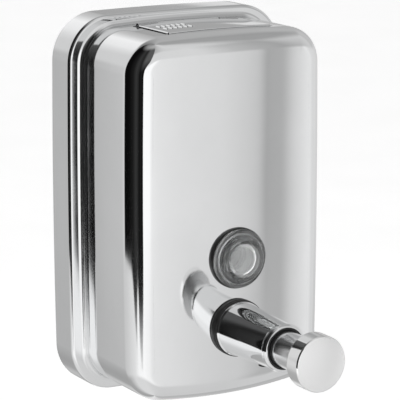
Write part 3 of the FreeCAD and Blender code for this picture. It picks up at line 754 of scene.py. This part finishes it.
CHROME = (0.89, 0.895, 0.90)
looks = {
    "polished_stainless": metal("polished_stainless", (0.86, 0.865, 0.87), 0.035, 0.035, 0.05,
                                wave=0.00012, step=True),
    "plain_stainless": metal("plain_stainless", (0.62, 0.625, 0.63), 0.24, 0.12, 0.5,
                             grain=(60.0, 60.0, 5200.0)),
    "bracket_steel": metal("bracket_steel", (0.55, 0.56, 0.57), 0.34, 0.16, 0.8, grain=(700.0,) * 3),
    "black_rubber": rubber("black_rubber"),
    "clear_plastic": clear_plastic("clear_plastic"),
    "chrome_plate": metal("chrome_plate", CHROME, 0.02, 0.03, 0.04),
    "white_plastic": moulded("white_plastic", (0.78, 0.785, 0.77)),
    "plated_brass": metal("plated_brass", (0.66, 0.64, 0.58), 0.22, 0.12, 0.4),
    "spring_steel": metal("spring_steel", (0.56, 0.565, 0.57), 0.2, 0.1, 0.4),
}
knob_look = knob_metal("knob_chrome")
plunger_look = metal("rubbed_chrome", CHROME, 0.14, 0.12, 0.2, grain=(2600.0, 40.0, 2600.0))
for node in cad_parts.values():
    for finish in node.material_slots:
        if finish.material:
            finish.material = looks.get(finish.material.name.split(".")[0], finish.material)


# ---------------------------------------------------------------- pieces in view
def show(name, surface, body, slot, *nodes, look=None):
    """A visible piece made from a surface, in its slot's look unless it has its own."""
    return place(surface.mesh(name, look or looks[slot]), body, slot, *nodes)


show("drawn_shell", front_shell(), "housing", "polished_stainless", "front_shell")
show("pressed_lid", lid_shell(), "lid", "polished_stainless", "refill_lid")
show("lid_leaf", hinge_leaf(), "lid", "polished_stainless")
show("lid_knuckle", knuckle(1.4, 0.8), "lid", "polished_stainless")

# Outlines of turned pieces: Y, radius and the rounding of that corner.
window_ring = [
    (FRONT_Y + 0.8, 9.2, 0.2), (FRONT_Y + 0.8, WINDOW_R + 0.45, 0.1), (FRONT_Y - 0.75, WINDOW_R + 0.45, 0.2),
    (FRONT_Y - 1.1, WINDOW_R + 0.3, 0.2), (FRONT_Y - 0.85, WINDOW_R + 0.15, 0.1),
    (FRONT_Y - 1.28, WINDOW_R - 0.1, 0.12), (FRONT_Y - 1.28, 9.2, 0.1)]
show("window_ring", turned(window_ring, WINDOW_Z), "housing", "black_rubber", "window_gasket")

PLUG_Y, SHANK_Y = FRONT_Y - 1.3, FRONT_Y + 10
moulding_ridges = [(PLUG_Y + 0.6 + k * 0.8, 6.9 if k % 2 else 6.55, 0.15) for k in range(11)]
window_plug = [
    (SHANK_Y, 9.0, 0.3), (PLUG_Y, 9.0, 0.15), (PLUG_Y, WINDOW_R, 0.15), (PLUG_Y - 1.0, WINDOW_R, 0.3),
    (PLUG_Y - 1.5, WINDOW_R - 0.5, 0.5), (PLUG_Y - 1.5, WINDOW_R - 1.2, 0.3), (PLUG_Y - 4.6, 9.3, 0.3),
    (PLUG_Y - 5.2, 8.7, 0.5), (PLUG_Y - 5.0, 7.3, 0.8), (PLUG_Y - 4.3, 0, 0), (PLUG_Y - 2.3, 0, 0),
    (PLUG_Y - 2.8, 5.6, 0.6), (PLUG_Y - 1.4, 6.9, 0.6), *moulding_ridges, (SHANK_Y, 6.9, 0.3)]
show("window_plug", turned(window_plug, WINDOW_Z), "housing", "clear_plastic", "window_lens")

pump_ring = [
    (FRONT_Y + 0.8, 9.1, 0.2), (FRONT_Y + 0.8, GASKET_R, 0.1), (FRONT_Y - 0.95, GASKET_R, 0.25),
    (FRONT_Y - 1.2, GASKET_R - 0.4, 0.1), (FRONT_Y - 1.5, GASKET_R - 0.4, 0.1),
    (FRONT_Y - 1.75, GASKET_R - 0.05, 0.2), (FRONT_Y - 2.2, GASKET_R - 0.05, 0.3),
    (BARREL_Y, GASKET_R - 0.6, 0.3), (BARREL_Y, 9.1, 0.2)]
show("pump_ring", turned(pump_ring, PUMP_Z), "housing", "black_rubber", "pump_gasket")

pump_barrel = [
    (FRONT_Y + 19.2, 7.85, 0.2), (FRONT_Y + 19.2, 9.0, 0.4), (BARREL_Y, 9.0, 0.1), (BARREL_Y, 11.75, 0.15),
    (BARREL_Y - 0.7, 11.75, 0.3), (BARREL_Y - 1.3, 11.25, 0.35), (LIP_Y + 3.2, 9.86, 0.4),
    (LIP_Y + 2.4, 10.2, 0.5), (LIP_Y + 1.0, 10.25, 1.0), (LIP_Y, 9.6, 0.7), (LIP_Y, 8.85, 0.35),
    (LIP_Y + 0.6, 8.7, 0.2), (LIP_Y + 2.0, 8.7, 0.1), (LIP_Y + 2.0, 7.85, 0.1)]
show("pump_barrel", turned(pump_barrel, PUMP_Z, 192), "housing", "chrome_plate", "pump_housing")

wiper_ring = [
    (LIP_Y + 1.95, 7.68, 0.1), (LIP_Y + 1.95, 8.68, 0.1), (LIP_Y + 0.45, 8.68, 0.2),
    (LIP_Y + 0.35, 8.2, 0.2), (LIP_Y + 0.75, 7.68, 0.15)]
show("wiper_ring", turned(wiper_ring, PUMP_Z), "housing", "black_rubber", "plunger_wiper")

PLUNGER_END = BARREL_Y - 4.2
plunger_bar = [
    (KNOB_Y - 4.9, 0, 0), (KNOB_Y - 4.9, 4.95, 0.2), (KNOB_Y + 0.02, 4.95, 0.02), (KNOB_Y + 0.02, 7.6, 0.12),
    (LIP_Y + 2.7, 7.6, 0.6), (LIP_Y + 3.7, 6.6, 0.5), (PLUNGER_END, 6.6, 0.2), (PLUNGER_END, 4.2, 0.2),
    (PLUNGER_END - 9.0, 4.2, 0.2), (PLUNGER_END - 9.0, 0, 0)]
show("plunger_bar", turned(plunger_bar, PUMP_Z, 160), "knob", "chrome_plate", "plunger", look=plunger_look)

FACE_Y, DOME = KNOB_Y - 8.0, 1.3
push_button = [(KNOB_Y, 5.0, 0.05), (KNOB_Y, KNOB_R - 0.6, 0.3), (KNOB_Y - 0.75, KNOB_R, 0.7),
               (FACE_Y + 0.1, KNOB_R, 0.75)]
for share in np.linspace(1, 0, 17):
    push_button.append((FACE_Y - 0.2 - (DOME - 0.2) * (1 - share ** 2), (KNOB_R - 0.45) * share,
                        0.35 if share == 1 else 0))
push_button += [(KNOB_Y - 5.0, 0, 0), (KNOB_Y - 5.0, 5.0, 0.05)]
show("push_button", turned(push_button, PUMP_Z, 192), "knob", "chrome_plate", "push_knob", look=knob_look)

PISTON_Y, SEAT_Y, SPRING_CLOSED = -49.2, -30.2, 6.0
return_coil = show("return_coil", coil(4.6, 0.7, PISTON_Y, SEAT_Y, 8, PUMP_Z),
                   "housing", "spring_steel", "return_spring")
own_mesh(return_coil)
VALVE_Y0, VALVE_Y1, VALVE_LIFT = -63.2, -57.75, 1.2
valve_coil = show("valve_coil", coil(1.3, 0.3, VALVE_Y0, VALVE_Y1, 6, PUMP_Z),
                  "knob", "spring_steel", "outlet_spring")
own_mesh(valve_coil)


# ---------------------------------------------------------------- studio
STEEL = 0.86                # a level stands for what the polished steel shows of that panel


def studio():
    """Light room: broad white and grey panels and one tall black flag, seen only in reflections."""
    world = bpy.data.worlds.new("studio")
    bpy.context.scene.world = world
    world.use_nodes = True
    t = Tree(world.node_tree)
    t.nodes.clear()
    way = t("ShaderNodeSeparateXYZ", {0: t("ShaderNodeTexCoord").outputs["Generated"]}).outputs
    turn = t.math("DIVIDE", t.math("ARCTAN2", way[1], way[0]), 2 * math.pi)
    turn = t.math("FRACT", t.math("ADD", turn, 1.0))
    rise = t.math("MULTIPLY", t.math("ARCSINE", way[2]), 180 / math.pi)

    def band(*stops):
        """Grey levels all round, by direction in degrees."""
        return t.ramp(turn, [(a / 360, lin(v) / STEEL) for a, v in stops])

    def step(value, a, b):
        return t("ShaderNodeMapRange", {"Value": value, "From Min": a, "From Max": b},
                 interpolation_type="SMOOTHSTEP").outputs[0]

    def both(a, b):
        return t.math("MULTIPLY", a, b)

    def mix(fac, a, b):
        made = t("ShaderNodeMix", {0: fac}, data_type="RGBA")
        for k, v in ((6, a), (7, b)):
            if isinstance(v, bpy.types.NodeSocket):
                t.links.new(v, made.inputs[k])
            else:
                made.inputs[k].default_value = (v, v, v, 1)
        return made.outputs[2]

    front = band((0, 212), (30, 205), (48, 188), (62, 174), (80, 170), (100, 165), (116, 172), (122, 202),
                 (135, 205), (225, 245), (237, 254), (252, 254), (270, 252), (275, 227), (284, 219),
                 (297, 213), (305, 203), (309, 195), (311.8, 170), (312.8, 160), (313.6, 169), (318.5, 173),
                 (320.5, 190), (323, 206), (329, 228), (338, 216), (350, 214))
    low = band((0, 200), (60, 175), (100, 150), (116, 172), (122, 196), (150, 208), (185, 222), (210, 246),
               (240, 250), (265, 240), (273, 226), (290, 208), (303, 200), (311, 178), (318, 175), (322, 205),
               (329, 226), (340, 210))
    upper = band((0, 188), (20, 190), (35, 180), (50, 174), (62, 168), (72, 195), (84, 240), (100, 232),
                 (112, 205), (130, 205), (252, 214), (290, 211), (301, 184), (312, 170), (320, 163),
                 (330, 190), (345, 200))
    gap = band((0, 157), (20, 156), (42, 172), (55, 170), (80, 150), (100, 125), (255, 175), (290, 208),
               (305, 202), (318, 176), (330, 158), (345, 158))
    table = band((0, 178), (45, 182), (70, 228), (90, 160), (125, 165), (180, 215), (230, 215), (270, 204),
                 (310, 200))
    light = mix(step(rise, -36, -24), table, low)
    light = mix(step(rise, -17, -12), light, front)
    light = mix(step(rise, 1, 9), light, upper)
    light = mix(step(rise, 34, 48), light, gap)
    # a dim wall and a lamp low over it, behind the dispenser
    behind = both(step(turn, 40 / 360, 48 / 360), step(turn, 78 / 360, 70 / 360))
    dim = both(behind, both(step(rise, 6.4, 7.2), step(rise, 16.0, 11.0)))
    light = mix(dim, light, lin(158) / STEEL)
    lamp = both(behind, both(step(rise, 4.6, 5.4), step(rise, 7.1, 6.5)))
    light = mix(lamp, light, lin(212) / STEEL)
    # tall black flag on the left: it leans at the top, and its ragged foot ends in two thin strips
    lean = both(t.math("MAXIMUM", t.math("SUBTRACT", rise, 25.0), 0.0), 0.5 / 360)
    near_edge = step(t.math("ADD", turn, lean), 126.5 / 360, 128.5 / 360)
    widening = t.math("ADD", t.span(rise, -16.0, -14.0, -4 / 360, 0.0), t.span(rise, 2.0, 14.0, 0.0, 9 / 360))
    far_edge = step(t.math("SUBTRACT", turn, widening), 244.7 / 360, 242.7 / 360)
    # elevation of its foot, in degrees
    foot_low, foot_span = -18.0, 6.0
    foot = t.ramp(turn, [(a / 360, (e - foot_low) / foot_span) for a, e in (
        (126, -14.0), (150, -14.3), (160, -14.4), (169, -14.5), (176, -14.75), (182, -15.1), (186, -15.7),
        (191, -16.4), (196, -16.7), (200, -17.1), (203, -16.5), (206, -15.5), (208.5, -15.2), (213, -15.2),
        (215.5, -15.6), (217, -16.6), (222, -17.2), (228, -17.6), (232, -17.3), (236, -16.3), (241, -15.4))])
    above = t.math("SUBTRACT", rise, t.math("ADD", both(foot, foot_span), foot_low))
    flag = both(both(near_edge, far_edge), both(step(above, -0.15, 0.15), step(rise, 78, 60)))
    flag = both(flag, t.span(rise, -17.4, -15.7, 0.35, 1.0))
    black = t.ramp(turn, [(a / 360, lin(v)) for a, v in (
        (126, 34), (135, 10), (160, 14), (185, 30), (203, 56), (214, 46), (222, 20), (232, 30), (236, 22))])
    black = mix(both(t.span(rise, 2.0, 26.0, 0.0, 0.1), step(turn, 215 / 360, 235 / 360)), black, 1.0)
    light = mix(flag, light, black)
    # the camera itself sees plain white
    light = mix(t("ShaderNodeLightPath").outputs["Is Camera Ray"], light, 1.0)
    back = t("ShaderNodeBackground", {"Color": light, "Strength": 1.0})
    t("ShaderNodeOutputWorld", {"Surface": back.outputs[0]})


def floor():
    """Wide round pale floor below the dispenser; it fades into the white room."""
    size, rings, around = 6.0, 12, 48
    level = cad_box[0][2] - 0.35
    data = bpy.data.meshes.new("studio_floor")
    points = [(0, 0, level)]
    for j in range(1, rings + 1):
        r = size * (j / rings) ** 2
        for k in range(around):
            a = 2 * math.pi * k / around
            points.append((r * math.cos(a), r * math.sin(a), level))
    faces = [(0, 1 + k, 1 + (k + 1) % around) for k in range(around)]
    for j in range(1, rings):
        a, b = 1 + (j - 1) * around, 1 + j * around
        for k in range(around):
            n = (k + 1) % around
            faces.append((a + k, b + k, b + n, a + n))
    data.from_pydata(points, [], faces)
    made, t, shader, where = material("pale_floor", {"Emission Strength": 0.62, "Roughness": 0.6})
    pale = t.ramp(t.noise(where, 7.0, 5.0, 0.6), [(0.3, (0.93, 0.93, 0.93)), (0.7, (0.96, 0.96, 0.96))])
    feed(t, shader, base_color=pale, emission_color=pale)
    data.materials.append(made)
    thing = bpy.data.objects.new("studio_floor", data)
    bpy.context.scene.collection.objects.link(thing)
    thing.visible_glossy = False


def panel_light(name, where, size, power):
    """A square soft light aimed at the dispenser."""
    data = bpy.data.lights.new(name, "AREA")
    data.shape = "RECTANGLE"
    data.size, data.size_y = size, size
    data.energy = power
    thing = bpy.data.objects.new(name, data)
    thing.location = where
    thing.rotation_euler = (-Vector(where)).to_track_quat("-Z", "Y").to_euler()
    thing.visible_glossy = False
    bpy.context.scene.collection.objects.link(thing)


studio()
floor()
panel_light("key_panel", (-0.5, -1.0, 1.1), 0.9, 9.0)
panel_light("fill_panel", (0.9, -0.9, 0.4), 0.8, 4.0)


# ---------------------------------------------------------------- camera
TURN, TILT = math.radians(30.717), math.radians(12.302)
AIM, DISTANCE = Vector((0.99, -33.0, 1.64)) * MM, 0.9208
away = Vector((-math.sin(TURN) * math.cos(TILT), -math.cos(TURN) * math.cos(TILT), math.sin(TILT)))
lens = bpy.data.cameras.new("camera")
lens.sensor_width = 36.0
lens.lens = 192.4
lens.clip_start, lens.clip_end = 0.05, 50.0
camera = bpy.data.objects.new("camera", lens)
camera.location = AIM + away * DISTANCE
camera.rotation_euler = (-away).to_track_quat("-Z", "Y").to_euler()
bpy.context.scene.collection.objects.link(camera)
bpy.context.scene.camera = camera
bpy.context.scene.view_settings.view_transform = "Standard"
